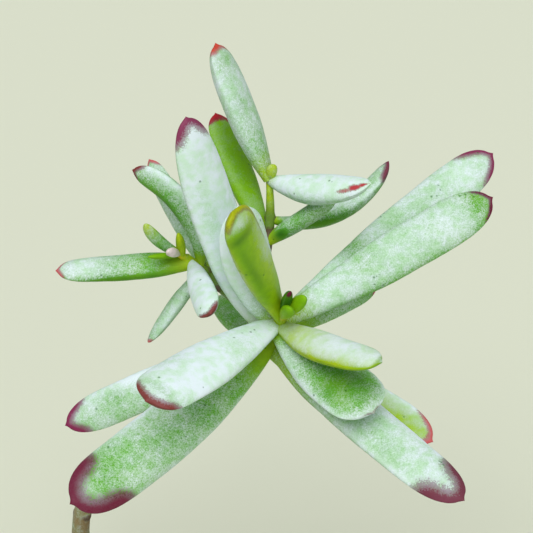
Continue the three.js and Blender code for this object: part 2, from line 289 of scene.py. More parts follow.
def curve_through(points):
    """A centripetal Catmull-Rom curve, as a fine row of points and its length up to each."""
    given = [np.array(point, float) for point in points]
    given = [2 * given[0] - given[1], *given, 2 * given[-1] - given[-2]]
    line = []
    for before, start, end, after in zip(given, given[1:], given[2:], given[3:]):
        gap = np.sum((end - start) ** 2) ** 0.25
        leave, arrive = slope(before, start, end) * gap, slope(start, end, after) * gap
        for t in np.arange(CURVE_PIECES) / CURVE_PIECES:
            line.append(
                start + leave * t + (3 * end - 3 * start - 2 * leave - arrive) * t**2
                + (2 * start - 2 * end + leave + arrive) * t**3
            )
    line.append(given[-2])
    line = np.array(line)
    reach = np.concatenate([[0], np.cumsum(np.linalg.norm(np.diff(line, axis=0), axis=1))])
    return line, reach


def along_curve(line, reach, distance):
    return np.stack([np.interp(distance, reach, line[:, axis]) for axis in range(3)], axis=-1)


def shoot_axes(shoot):
    """A shoot's own way, the level direction across it, and the direction above that."""
    rise, heading = math.radians(shoot["rise"]), math.radians(shoot["heading"])
    flat = math.cos(rise)
    along = np.array([flat * math.cos(heading), flat * math.sin(heading), math.sin(rise)])
    level = unit(np.cross([0, 0, 1], along))
    return along, level, np.cross(along, level)


def outline(t, base, widest, blunt):
    """Share of the full width at t along a leaf."""
    swell = base + (1 - base) * np.sin(np.minimum(t / widest, 1) * math.pi / 2)
    close = np.sqrt(np.maximum(0, 1 - np.clip((t - widest) / (1 - widest), 0, 1) ** blunt))
    return np.where(t < widest, swell, close)


def crowded(count):
    """Places along a leaf that lie closer together towards its end."""
    return np.sin(np.linspace(0, 1, count) * math.pi / 2) ** RING_CROWDING


def leaf_surface(shoot, leaf, rows, columns):
    """The skin of a leaf: its points, and where each lies on the leaf."""
    along, level, above = shoot_axes(shoot)
    line, reach = curve_through(shoot["path"])
    root = along_curve(line, reach, reach[-1] - leaf["back"])
    turn, spread, curl, sway, roll = (
        math.radians(leaf.get(key, 0)) for key in ("turn", "spread", "curl", "sway", "roll")
    )
    base, widest = leaf.get("base", LEAF_BASE), leaf.get("widest", LEAF_WIDEST)
    blunt = leaf.get("blunt", LEAF_BLUNTNESS)
    out = level * math.cos(turn) + above * math.sin(turn)
    side = np.cross(along, out)

    def heading_at(t):
        t = np.asarray(t)[..., None]
        angle = spread - curl * (t - 0.5)
        return unit(along * np.cos(angle) + out * np.sin(angle) + side * np.tan(sway * (t - 0.5)))

    steps = heading_at((np.arange(MIDDLE_PIECES) + 0.5) / MIDDLE_PIECES)
    middle = np.vstack([root, root + np.cumsum(steps, axis=0) * leaf["long"] / MIDDLE_PIECES])

    t = crowded(rows + 1)
    run = heading_at(t)
    across = unit(side - run * (run @ side)[:, None])
    inward = np.cross(run, across)
    flat = across * math.cos(roll) + inward * math.sin(roll)
    deep = inward * math.cos(roll) - across * math.sin(roll)
    centre = along_curve(middle, np.linspace(0, 1, MIDDLE_PIECES + 1), t)
    angle = np.arange(columns) / columns * 2 * math.pi
    half_width = leaf["wide"] / 2 * outline(t, base, widest, blunt)
    depth = outline(t, base * DEPTH_BASE, widest * DEPTH_WIDEST, blunt * DEPTH_BLUNTNESS)
    depth = leaf["thick"] * depth
    share = np.where(np.sin(angle) > 0, INNER_FACE_SHARE, 1 - INNER_FACE_SHARE)

    # The margin gets sharper towards the end of the leaf.
    sharp = 1 + MARGIN_SHARPNESS * smooth(*MARGIN_SPAN, t)[:, None]
    lift = np.sign(np.sin(angle)) * np.abs(np.sin(angle)) ** sharp
    sideways = half_width[:, None] * np.cos(angle)
    off = depth[:, None] * share * lift
    points = centre[:, None] + flat[:, None] * sideways[..., None] + deep[:, None] * off[..., None]

    # The point at the very end.
    gone = np.sqrt(sideways**2 + off**2)
    point = leaf.get("point", LEAF_POINT) * np.exp(-((gone / POINT_RADIUS) ** POINT_FALL))
    point = point * smooth(*POINT_SPAN, t)[:, None]
    points += run[:, None] * point[..., None]

    # Distance from the leaf's edge, seen flat on.
    edge_t = crowded(EDGE_SAMPLES)
    edge_side = leaf["wide"] / 2 * outline(edge_t, base, widest, blunt)
    length_gap = (t[:, None, None] - edge_t) * leaf["long"]
    side_gap = np.abs(sideways)[..., None] - edge_side
    return {
        "points": points,
        "t": np.broadcast_to(t[:, None], sideways.shape),
        "angle": np.broadcast_to(angle, sideways.shape),
        "off": off,
        "from_edge": np.sqrt(np.min(length_gap**2 + side_gap**2, axis=-1)),
    }


def skin_faces(rows, columns, first=0):
    """Faces of a skin laid out in rings."""
    faces = []
    for row in range(rows):
        for column in range(columns):
            after = (column + 1) % columns
            low, high = first + row * columns, first + (row + 1) * columns
            faces.append((low + column, low + after, high + after, high + column))
    return faces


def normals_of(points):
    """Outward directions of a ringed skin."""
    around = np.roll(points, -1, axis=1) - np.roll(points, 1, axis=1)
    along = np.gradient(points, axis=0)
    normal = np.cross(around, along)
    size = np.linalg.norm(normal, axis=-1, keepdims=True)
    return normal / np.maximum(size, 1e-9)


def uneven(points, length, seed):
    """Soft noise from -1 to 1 at each point, with bumps about that long in millimetres."""
    flat = points.reshape(-1, 3) / length + seed * SEED_SHIFT
    values = [noise.noise(Vector(point)) for point in flat]
    return np.array(values).reshape(points.shape[:-1])


def relief(surface, seed):
    """The leaf's points, made softly uneven, with a raised rim round its end.

    Nothing rises above the solid's own skin: all but the rim is sunk by the rim's height.
    """
    points, t = surface["points"], surface["t"]
    normal = normals_of(points)
    calm = smooth(*ROOT_CALM, t) * (1 - smooth(*END_CALM, t))
    rim = np.exp(-((surface["off"] / RIM_WIDTH) ** 2))
    rim = rim * smooth(*RIM_SPAN, t) * (1 - smooth(*RIM_CLOSE, t))
    waves = uneven(points, WAVE_LENGTH, seed) * WAVE_HEIGHT
    dimples = uneven(points, DIMPLE_LENGTH, seed) * DIMPLE_HEIGHT
    height = np.minimum(RIM_HEIGHT * (rim - 1) + (waves + dimples) * calm, 0)
    return points + normal * height[..., None]


# Colours, as they look on a screen.
LEAF_GREEN = linear(92, 162, 42)
DEEP_GREEN = linear(34, 96, 16)
YELLOW_GREEN = linear(172, 196, 20)
FRESH_GREEN = linear(122, 176, 8)
FARINA = linear(226, 238, 246)
MINT = linear(204, 232, 211)
DUSK = linear(64, 34, 40)
MAROON = linear(104, 12, 48)
PURPLE = linear(126, 16, 72)
RED = linear(176, 30, 40)
ORANGE_RED = linear(196, 58, 36)
BROWN_RED = linear(116, 28, 22)
OLIVE = linear(160, 170, 8)
PINK = linear(190, 82, 84)
BARK = linear(136, 118, 84)
AMBER = linear(204, 186, 30)
STEM_GREEN = linear(98, 128, 40)
BEAD_WHITE = linear(244, 222, 226)
PEAT = linear(66, 50, 38)
CRUMB_DARK = linear(48, 36, 28)
CRUMB_PALE = linear(120, 98, 74)
CLAY_RED = linear(186, 104, 70)
CLAY_PALE = linear(204, 124, 86)
CLAY_BROWN = linear(164, 86, 58)
PALE_SAND = linear(226, 170, 134)
BROWN_SAND = linear(120, 66, 48)
SALTS = linear(226, 206, 190)
FLOOR_PAINT = linear(214, 218, 198)
GRIT_TONES = [
    linear(196, 186, 168),
    linear(150, 136, 116),
    linear(98, 78, 60),
    linear(60, 46, 36),
    linear(168, 124, 92),
    linear(226, 222, 212),
]


def leaf_of(back, turn, spread, long, wide, thick, **rest):
    """A leaf's shape and look, by name."""
    return dict(back=back, turn=turn, spread=spread, long=long, wide=wide, thick=thick, **rest)


def bud_of(*shape, **rest):
    """The same of a bud: rounder, and with no point."""
    return leaf_of(*shape, **{**dict(base=0.6, widest=0.6, blunt=2.2, point=0), **rest})


# Each leaf's shape, as in the solids, then its look. Lengths are in millimetres, angles in
# degrees, and places along are shares of the leaf's length.
# In this order, distance of its root from the growing point along the stem, turn round the
# stem, spread from the stem's way, length, width and thickness. curl, sway: bend along and
# across the face. roll: turn about its length. base, widest, blunt: the outline.
# flesh: its green. bloom: how far white wax covers its inner and its outer face; where the
# outer face has less, that is partly painted shade on the undersides. root: how
# far along the yellow of its root reaches. edge: more wax along its edge, and how far in it
# reaches. rim: its blush, where along that starts on the two margins, where 2 is nowhere,
# and how far in it reaches on the two faces. marks: soft patches as (what, place along,
# angle round, size along, size round, amount), where deep and yellow are greens; a few deep
# patches and patches of less wax are painted shade, as noted at each.
LEAVES = {
    "main_leaf_01_young_up": leaf_of(
        5, 132.9, 34.9, 49.5, 13, 7.5, widest=0.74, blunt=4,
        flesh=FRESH_GREEN, bloom=(-0.1, -0.1), rim=(OLIVE, 0.95, 0.62, 0.8, 0.8),
        marks=[
            ("yellow", 0.97, 250, 0.1, 110, 1.0), ("yellow", 0.9, 165, 0.08, 40, 0.8),
            # The deep patch at 0.86, below the pale oval, is painted shadow under the curled end.
            ("bloom", 0.945, 80, 0.04, 60, 0.6), ("deep", 0.86, 70, 0.03, 60, 0.7),
            ("deep", 0.6, 50, 0.24, 16, 0.5), ("yellow", 0.45, 95, 0.3, 40, 0.3),
            ("bloom", 0.65, 128, 0.22, 36, 0.52), ("bloom", 0.5, 170, 0.3, 30, 0.35),
            ("yellow", 0.6, 135, 0.3, 50, 0.7), ("yellow", 0.1, 90, 0.14, 200, 0.9),
            ("yellow", 0.6, 355, 0.35, 26, 0.8), ("bloom", 0.55, 350, 0.3, 22, 0.3),
        ],
    ),
    "main_leaf_02_young_right": leaf_of(
        10, -63.8, 37.5, 45.2, 10.5, 6.6, sway=22, widest=0.58, blunt=3.6,
        flesh=FRESH_GREEN, bloom=(0.74, 0.0), root=0.4, marks=[
            ("bloom", 0.75, 172, 0.4, 36, -0.7), ("yellow", 0.6, 160, 0.5, 60, 0.9),
            ("yellow", 0.5, 90, 0.5, 300, 0.5), ("bloom", 0.5, 60, 0.3, 36, -0.1),
            ("yellow", 0.25, 100, 0.25, 120, 0.9), ("bloom", 0.3, 110, 0.16, 60, -0.25),
            ("bloom", 0.72, 70, 0.16, 50, 0.2), ("bloom", 0.9, 110, 0.05, 50, -0.14),
            ("deep", 1.0, 90, 0.02, 400, 0.5), ("bloom", 0.99, 90, 0.015, 400, -0.5),
        ],
    ),
    "main_leaf_03_right": leaf_of(
        10, 14.9, 73.4, 73, 14.6, 8, sway=1,
        bloom=(0.64, 0.3), rim=(MAROON, 0.94, 0.93, 1.0, 1.2), marks=[
            ("bloom", 0.95, 60, 0.06, 150, -0.55), ("bloom", 0.75, 165, 0.3, 28, -0.3),
            ("bloom", 0.4, 170, 0.25, 28, -0.28),
            ("bloom", 0.42, 60, 0.06, 40, -0.2), ("bloom", 0.2, 90, 0.08, 60, 0.1),
        ],
    ),
    "main_leaf_04_left_forward": leaf_of(
        9, -159.9, 67.2, 56.7, 16.4, 8, curl=5, roll=25, widest=0.7, blunt=5,
        bloom=(1.0, 0.8), root=0.12, rim=(BROWN_RED, 0.9, 0.93, 1.3, 2.3), marks=[
            ("bloom", 0.93, 60, 0.04, 110, -0.42), ("bloom", 0.72, 150, 0.1, 40, -0.2),
            ("bloom", 0.35, 60, 0.12, 50, -0.18), ("bloom", 0.86, 10, 0.06, 30, -0.2),
        ],
    ),
    "main_leaf_05_up": leaf_of(
        11, 111.7, 46.8, 41.3, 16.4, 8, curl=8, sway=-20, blunt=3,
        bloom=(0.8, 0.6), root=0.3, marks=[
            ("bloom", 0.7, 20, 0.4, 60, 0.4), ("yellow", 0.6, 120, 0.4, 40, 0.6),
            ("bloom", 0.25, 60, 0.16, 90, -0.3),
            ("bloom", 0.65, 125, 0.3, 36, -0.15),
        ],
    ),
    "main_leaf_06_down_forward": leaf_of(
        11, -71.1, 59.5, 42.7, 18.6, 9, curl=8, blunt=3.9,
        bloom=(0.2, 0.6), edge=(0.4, 1.5), rim=(BROWN_RED, 0.99, 0.99, 0.25, 0.25),
        marks=[
            ("bloom", 0.72, 110, 0.15, 60, -0.2), ("bloom", 0.45, 175, 0.3, 30, 0.3),
            ("deep", 0.7, 110, 0.1, 40, 0.3), ("bloom", 0.3, 150, 0.14, 60, 0.25),
        ],
    ),
    "main_leaf_07_right_back": leaf_of(
        17, 24, 82, 89.5, 14.5, 8, sway=3, blunt=4.2,
        bloom=(0.68, 0.45), rim=(PURPLE, 0.88, 0.9, 1.6, 2.0), marks=[
            ("bloom", 0.38, 45, 0.05, 60, -0.4), ("bloom", 0.55, 100, 0.12, 60, -0.16),
            ("bloom", 0.85, 90, 0.06, 60, 0.16), ("bloom", 0.75, 150, 0.2, 30, -0.2),
        ],
    ),
    "main_leaf_08_down_left": leaf_of(
        17, -153.2, 91.1, 77.8, 17.6, 9.5, sway=-16, base=0.5, widest=0.56, blunt=5.8,
        bloom=(0.36, 0.62), root=0.3, rim=(MAROON, 0.8, 0.84, 3.0, 4.0), marks=[
            ("bloom", 0.5, 350, 0.3, 26, 0.4), ("bloom", 0.3, 60, 0.16, 90, -0.22),
            ("bloom", 0.6, 172, 0.22, 26, 0.5), ("bloom", 0.86, 100, 0.06, 90, -0.1),
        ],
    ),
    "main_leaf_09_up_left": leaf_of(
        21, 112, 51, 73.5, 15.2, 8.5, curl=14, sway=-7.5, base=0.35, widest=0.4, blunt=4.6,
        bloom=(1.05, 0.4), root=0.16, rim=(PURPLE, 0.9, 0.9, 2.0, 2.8), marks=[
            ("bloom", 0.6, 60, 0.2, 30, -0.14),
        ],
    ),
    "main_leaf_10_down_right": leaf_of(
        21, -67, 63.5, 78.2, 14.3, 8, sway=8, base=0.5, widest=0.35, blunt=7.5,
        bloom=(0.76, 0.5), root=0.5, edge=(0.25, 1.2), rim=(MAROON, 0.84, 0.84, 3.0, 3.4), marks=[
            ("bloom", 0.45, 110, 0.1, 60, -0.35), ("bloom", 0.65, 120, 0.12, 50, -0.25),
            ("bloom", 0.2, 90, 0.14, 90, -0.3),
            ("deep", 0.4, 215, 0.4, 26, 0.8), ("bloom", 0.4, 215, 0.4, 26, -0.4),
        ],
    ),
    "main_leaf_11_right_short": leaf_of(
        27, 16, 100, 46, 11, 7,
        bloom=(0.3, 0.12), root=0.6, rim=(RED, 0.9, 0.9, 0.8, 0.8),
    ),
    "main_leaf_12_left": leaf_of(
        27, -172.5, 111, 64.4, 12, 7,
        bloom=(0.46, 0.5), rim=(PURPLE, 0.9, 0.88, 1.8, 3.0), marks=[
            ("bloom", 0.6, 150, 0.35, 44, 0.55), ("bloom", 0.75, 110, 0.06, 30, -0.25),
        ],
    ),
    "main_leaf_13_down_right_back": leaf_of(
        32, -53, 68, 60, 14.5, 7, widest=0.6,
        flesh=FRESH_GREEN, bloom=(0.4, 0.2), edge=(0.3, 1.2), rim=(PINK, 0.86, 0.8, 1.2, 1.3),
        marks=[
            ("bloom", 0.8, 20, 0.2, 40, 0.4), ("bloom", 0.8, 120, 0.25, 50, -0.45),
            ("yellow", 0.8, 120, 0.3, 70, 0.6),
        ],
    ),
    "main_leaf_14_back": leaf_of(
        32, 84, 138, 34, 16, 8,
        # Its thin wax is partly painted shade: the leaf lies in the shadow of the leaves in front
        # of it.
        bloom=(0.12, 0.12), rim=(PURPLE, 0.9, 0.9, 1.0, 1.2),
    ),
    "left_leaf_1_level": leaf_of(
        7, -120, 51, 39.2, 9.2, 6, sway=-5, base=0.6, widest=0.4, blunt=6.8,
        bloom=(0.38, 0.1), root=0.3, rim=(PINK, 0.95, 0.93, 0.7, 0.9), marks=[
            ("bloom", 0.82, 100, 0.16, 80, 0.4), ("deep", 0.5, 10, 0.35, 22, 0.7),
            ("bloom", 0.5, 8, 0.4, 24, -0.5), ("bloom", 0.3, 100, 0.14, 80, -0.35),
        ],
    ),
    "left_leaf_2_forward": leaf_of(
        7, -10, 75, 33.9, 8.8, 6, base=0.25, blunt=4.5,
        bloom=(1.1, 0.8), root=0.05, rim=(BROWN_RED, 0.93, 0.9, 0.6, 0.8),
    ),
    "left_leaf_3_curved": leaf_of(
        11, 145, 32, 38.5, 8, 6, sway=85,
        bloom=(0.3, 0.2), rim=(BROWN_RED, 0.95, 0.92, 0.9, 1.3), marks=[
            ("bloom", 0.75, 160, 0.3, 36, 0.7), ("bloom", 0.7, 40, 0.3, 36, -0.5),
            ("deep", 0.62, 30, 0.2, 24, 0.6),
        ],
    ),
    "left_leaf_4_thin": leaf_of(
        12, -100.1, 101, 28.7, 5.4, 4.5, sway=5, widest=0.5,
        bloom=(0.5, 0.35), rim=(PINK, 0.95, 0.95, 0.9, 0.9), marks=[
            ("bloom", 0.6, 10, 0.35, 50, 0.4), ("bloom", 0.6, 150, 0.3, 30, -0.35),
        ],
    ),
    "left_leaf_5_up": leaf_of(
        15, 152, 55, 39.5, 7.4, 6,
        bloom=(0.52, 0.2), rim=(PINK, 0.95, 0.93, 0.7, 0.9),
    ),
    "upper_leaf_1_tall": leaf_of(
        2.5, -36.2, 20.5, 42.8, 15, 8, blunt=3.8,
        bloom=(0.66, 0.6), root=0.28, rim=(ORANGE_RED, 0.94, 0.9, 1.3, 2.0), marks=[
            # The patch of less wax at 0.86, near its top, is painted shade.
            ("bloom", 0.3, 60, 0.16, 70, -0.3), ("bloom", 0.86, 55, 0.09, 60, -0.2),
            ("bloom", 0.55, 60, 0.08, 30, -0.14), ("bloom", 0.75, 340, 0.14, 40, 0.2),
        ],
    ),
    "upper_leaf_2_right": leaf_of(
        2.5, 129, 85, 36.6, 10.4, 8, curl=26, roll=35, widest=0.5, blunt=2.4,
        bloom=(1.0, 0.7), root=0.14, marks=[
            ("blush", 0.9, 124, 0.05, 15, 1.3), ("blush", 0.81, 132, 0.06, 10, 0.7),
            ("bloom", 0.5, 170, 0.3, 30, -0.25), ("blush", 0.96, 116, 0.03, 16, 1.0),
        ],
    ),
    "upper_leaf_3_curved": leaf_of(
        14, -170.7, 73.6, 44.3, 8.2, 6, curl=76,
        bloom=(0.5, 0.12), root=0.1, edge=(0.3, 0.8), rim=(MAROON, 0.9, 0.86, 0.9, 1.2), marks=[
            ("bloom", 0.5, 90, 0.2, 40, 0.35), ("bloom", 0.4, 180, 0.3, 40, -0.3),
            ("deep", 0.4, 185, 0.35, 34, 0.5),
        ],
    ),
    "upper_leaf_4_right_low": leaf_of(
        20.5, 155, 57, 25.5, 7.4, 6, base=0.5,
        bloom=(0.24, 0.2), rim=(MAROON, 0.93, 0.93, 0.6, 0.8), marks=[
            ("deep", 0.2, 185, 0.09, 34, 0.9), ("bloom", 0.2, 185, 0.09, 34, -0.6),
            ("bloom", 0.35, 120, 0.1, 40, 0.2),
        ],
    ),
    "upper_leaf_5_left": leaf_of(
        21.5, -69, 35.5, 43.5, 10.5, 6,
        flesh=FRESH_GREEN, bloom=(0.05, 0.12), rim=(RED, 0.93, 0.9, 1.4, 2.0), marks=[
            ("blush", 0.99, 82, 0.04, 70, 0.8), ("deep", 0.6, 70, 0.3, 40, 0.25),
        ],
    ),
}

# The buds and smallest leaves at each growing point.
BUDS = {
    "main": [
        bud_of(
            2, 107.9, 15.2, 12.6, 3.3, 3,
            flesh=DEEP_GREEN, bloom=(-0.2, -0.2), rim=(MAROON, 2, 2, 1, 1),
            marks=[("blush", 1.0, 90, 0.1, 80, 0.9)],
        ),
        bud_of(2, 10.9, 15.2, 12.4, 4.2, 3.6, flesh=FRESH_GREEN, root=0.9, bloom=(-0.2, -0.2)),
        bud_of(2, -142, 12, 12, 4, 3.4, flesh=FRESH_GREEN, root=0.9, bloom=(-0.2, -0.2)),
    ],
    "left": [
        bud_of(
            1, 150, 10, 14.6, 3.9, 3.2, sway=-40,
            flesh=LEAF_GREEN, bloom=(0.25, 0.2), marks=[("yellow", 1.0, 90, 0.3, 400, 1.0)],
        ),
        bud_of(
            3, 75.8, 35.7, 8.6, 3.4, 2.8,
            flesh=YELLOW_GREEN, bloom=(-0.1, -0.1), marks=[("deep", 0.4, 30, 0.3, 60, 0.4)],
        ),
        bud_of(2, -80, 33, 11, 2.2, 1.9, flesh=FRESH_GREEN, bloom=(-0.1, -0.1)),
        bud_of(1, -10, 36, 8.5, 2.9, 2.9, flesh=BEAD_WHITE, root=0, bloom=(-0.3, -0.3)),
    ],
    "upper": [
        bud_of(2, 100, 30, 5.6, 3.6, 3, flesh=YELLOW_GREEN, bloom=(0.08, 0.08)),
        bud_of(2, -70, 20, 4.5, 3, 2.6, flesh=FRESH_GREEN, bloom=(0.1, 0.1)),
    ],
}

# How a leaf's colours change over its skin: the yellow of its root and the wax that it
# costs, where the inner face turns into the outer one, and how a blushed rim begins.
ROOT_REACH = 0.22
ROOT_EASE = 0.01
ROOT_YELLOW = 0.85
ROOT_WEAR = 0.6
FACE_SPAN = (0.2, 0.8)
EDGE_WAX_SPAN = (0.4, 0.7)
NO_RIM = (RED, 2, 2, 1, 1)
RIM_BEFORE = 0.03
RIM_AFTER = 0.07
RIM_FALL = 1.5
BLOOM_LIMITS = (-0.5, 1.5)

# Noises in the materials: bumps per metre, detail and roughness.
SKIN_NOISES = [(2600, 2, 0.6), (1100, 2, 0.5), (420, 3, 0.55), (105, 2, 0.5)]
CLAY_NOISES = [(2600, 2, 0.5), (240, 4, 0.6), (38, 4, 0.6)]
SOIL_NOISES = [(1500, 3, 0.6), (420, 3, 0.6)]

# Ramps in the materials, as Nodes.ramp takes them.
FLESH_DARKENED = (0.3, 0.7, 0.0, 0.2)
FLESH_FRESHENED = (0.4, 0.7, 0.0, 0.35)
BLUSH_BROKEN = (0.02, 0.2)
BLUSH_DUSKY = (0.06, 0.36)
BLUSH_RED = (0.05, 0.4)
BLUSH_FULL = (0.4, 0.8)
DUSK_BY_BLOOM = (0.3, 0.8, 0.8, 0.2)
WAX_UNEVEN = (0.1, 1.15, 1.0, 0.22)
WAX_PRESENT = (-0.15, 0.25)
WAX_WHITE = (0.34, 0.6)
SPOT_EDGE = (0.1, 0.2, 1.0, 0.0)
CLAY_PALER = (0.3, 0.7)
CLAY_BURNT = (0.35, 0.75, 0.0, 0.5)
SAND_BRIGHT = (0.6, 0.72, 0.0, 0.45)
SAND_DARK = (0.28, 0.36, 0.5, 0.0)
SALTS_AT_FOOT = (-0.012, 0.012, 1.0, 0.0)
SALTS_AT_LIP = (0.079, 0.089)
SALTS_BROKEN = (0.3, 0.62, 0.1, 0.75)
CLAY_ROUGHNESS = (0.3, 0.7, 0.82, 0.95)
SOIL_SHADED = (0.35, 0.7, 0.0, 0.55)
SOIL_DUSTED = (0.55, 0.75, 0.0, 0.35)
SOIL_ROUGHNESS = (0.3, 0.7, 0.85, 1.0)

# Shares in the living skin: how far fine noise breaks up the wax and the blush, how much
# wax the blush bares, and how rare and dark the specks are.
FINE_GRAIN = 1.5
SMALL_GRAIN = 0.6
BLUSH_GRAIN = 0.55
BLUSH_DARKNESS = 0.4
THICKEST_WAX = 0.97
DUSK_BARES = 0.66
RIM_BARES = 0.3
SPOT_CELLS = 420
SPOT_NOISE = (160, 0)
SPOT_RARITY = 0.66
SPOT_DARKNESS = 0.6
WAX_ROUGHNESS = 0.82


def mix(first, second, share):
    return first + (second - first) * share[..., None]


def paint_leaf(surface, look):
    """The colours of a leaf at each of its points, by attribute."""
    t, angle = surface["t"], surface["angle"]
    inner = 0.5 + 0.5 * np.sin(angle)
    flesh = np.broadcast_to(look.get("flesh", LEAF_GREEN), (*t.shape, 3))
    root = 1 - smooth(0, look.get("root", ROOT_REACH) + ROOT_EASE, t)
    flesh = mix(flesh, YELLOW_GREEN, ROOT_YELLOW * root)

    # Wax on the inner and the outer face; the thinner wax on the outer face is partly painted
    # shade on the undersides.
    inner_bloom, outer_bloom = look["bloom"]
    bloom = outer_bloom + (inner_bloom - outer_bloom) * smooth(*FACE_SPAN, inner)
    edge_bloom, edge_width = look.get("edge", (0, 1))
    edge = np.exp(-((surface["from_edge"] / edge_width) ** 2)) * smooth(*EDGE_WAX_SPAN, t)
    bloom = bloom + edge_bloom * edge - ROOT_WEAR * root

    blush, right_start, left_start, inner_fade, outer_fade = look.get("rim", NO_RIM)
    start = left_start + (right_start - left_start) * (0.5 + 0.5 * np.cos(angle))
    fade = outer_fade + (inner_fade - outer_fade) * inner
    share = np.exp(-((surface["from_edge"] / fade) ** RIM_FALL))
    share = share * smooth(start - RIM_BEFORE, start + RIM_AFTER, t)

    for what, place, round_angle, size, wide, amount in look.get("marks", []):
        aside = swing(angle, math.radians(round_angle)) / math.radians(wide)
        patch = np.exp(-(((t - place) / size) ** 2) - aside**2) * amount
        if what == "bloom":
            bloom = bloom + patch
        elif what == "blush":
            share = np.maximum(share, patch)
        else:
            tone = {"deep": DEEP_GREEN, "yellow": YELLOW_GREEN}[what]
            flesh = mix(flesh, tone, np.clip(patch, 0, 1))
    return {
        "flesh": flesh,
        "blush": np.broadcast_to(blush, (*t.shape, 3)),
        "bloom": np.clip(bloom, *BLOOM_LIMITS),
        "blush_share": np.clip(share, 0, 1),
    }


def add_attribute(mesh, name, values):
    """Gives each point of a mesh a number, or a colour where each value is a triple."""
    if values.ndim == 1:
        attribute = mesh.attributes.new(name, "FLOAT", "POINT")
        attribute.data.foreach_set("value", values.astype(np.float32))
    else:
        values = np.hstack([values, np.ones((len(values), 1))])
        attribute = mesh.attributes.new(name, "FLOAT_COLOR", "POINT")
        attribute.data.foreach_set("color", values.astype(np.float32).ravel())


def weld(mesh):
    """Joins points that lie on one another, and turns all faces outward."""
    work = bmesh.new()
    work.from_mesh(mesh)
    bmesh.ops.remove_doubles(work, verts=work.verts, dist=WELD_GAP)
    bmesh.ops.recalc_face_normals(work, faces=work.faces)
    work.to_mesh(mesh)
    work.free()


def painted_mesh(name, patches):
    """One mesh made of several ringed skins, each with its colours."""
    vertices, faces = [], []
    first = 0
    for points, _ in patches:
        rows, columns = points.shape[:2]
        vertices.append(points.reshape(-1, 3) * MM)
        faces += skin_faces(rows - 1, columns, first)
        first += rows * columns
    mesh = bpy.data.meshes.new(name)
    mesh.from_pydata(np.vstack(vertices).tolist(), [], faces)
    for title in ("flesh", "blush", "bloom", "blush_share"):
        values = [paint[title].reshape(-1, *paint[title].shape[2:]) for _, paint in patches]
        add_attribute(mesh, title, np.concatenate(values))
    weld(mesh)
    mesh.shade_smooth()
    return mesh


def place_piece(mesh, material, node):
    """A piece of the plant that stands for one of its solids."""
    mesh.materials.append(material)
    piece = bpy.data.objects.new(mesh.name, mesh)
    bpy.context.scene.collection.objects.link(piece)
    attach(piece, "root")
    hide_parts(node)
    return piece


class Nodes:
    """A material's node tree, built a node at a time."""

    def __init__(self, name):
        self.material = bpy.data.materials.new(name)
        self.material.use_nodes = True
        self.tree = self.material.node_tree
        self.shader = self.tree.nodes["Principled BSDF"]
        self.place = self.add("ShaderNodeTexCoord").outputs["Object"]

    def add(self, kind, **settings):
        node = self.tree.nodes.new(kind)
        for name, value in settings.items():
            setattr(node, name, value)
        return node

    def feed(self, socket, value):
        if isinstance(value, bpy.types.NodeSocket):
            self.tree.links.new(value, socket)
        else:
            socket.default_value = value

    def noise(self, scale, detail, roughness=0.5):
        node = self.add("ShaderNodeTexNoise")
        self.feed(node.inputs["Vector"], self.place)
        self.feed(node.inputs["Scale"], scale)
        self.feed(node.inputs["Detail"], detail)
        self.feed(node.inputs["Roughness"], roughness)
        return node.outputs["Fac"]

    def cells(self, scale):
        """Distance from the nearest of many scattered points."""
        node = self.add("ShaderNodeTexVoronoi")
        self.feed(node.inputs["Vector"], self.place)
        self.feed(node.inputs["Scale"], scale)
        return node.outputs["Distance"]

    def math(self, operation, first, second):
        node = self.add("ShaderNodeMath", operation=operation)
        self.feed(node.inputs[0], first)
        self.feed(node.inputs[1], second)
        return node.outputs[0]

    def plus(self, first, second):
        return self.math("ADD", first, second)

    def times(self, first, second):
        return self.math("MULTIPLY", first, second)

    def ramp(self, value, low, high, start=0.0, end=1.0):
        """value from low to high, eased, as start to end."""
        node = self.add("ShaderNodeMapRange", interpolation_type="SMOOTHSTEP")
        for socket, setting in zip(node.inputs, (value, low, high, start, end)):
            self.feed(socket, setting)
        return node.outputs["Result"]

    def mix(self, share, first, second):
        node = self.add("ShaderNodeMix", data_type="RGBA")
        self.feed(node.inputs["Factor"], share)
        sockets = [socket for socket in node.inputs if socket.type == "RGBA"]
        for socket, colour in zip(sockets, (first, second)):
            if not isinstance(colour, bpy.types.NodeSocket):
                colour = (*colour, 1)
            self.feed(socket, colour)
        return [socket for socket in node.outputs if socket.type == "RGBA"][0]

    def attribute(self, name, output):
        return self.add("ShaderNodeAttribute", attribute_name=name).outputs[output]

    def finish(self, colour, roughness, specular, height, depth, strength):
        """Feeds the shader, with the height as low relief that deep, in metres."""
        self.feed(self.shader.inputs["Base Color"], colour)
        self.feed(self.shader.inputs["Roughness"], roughness)
        self.shader.inputs["Specular IOR Level"].default_value = specular
        bump = self.add("ShaderNodeBump")
        self.feed(bump.inputs["Height"], height)
        self.feed(bump.inputs["Distance"], depth)
        self.feed(bump.inputs["Strength"], strength)
        self.feed(self.shader.inputs["Normal"], bump.outputs["Normal"])
        return self.material


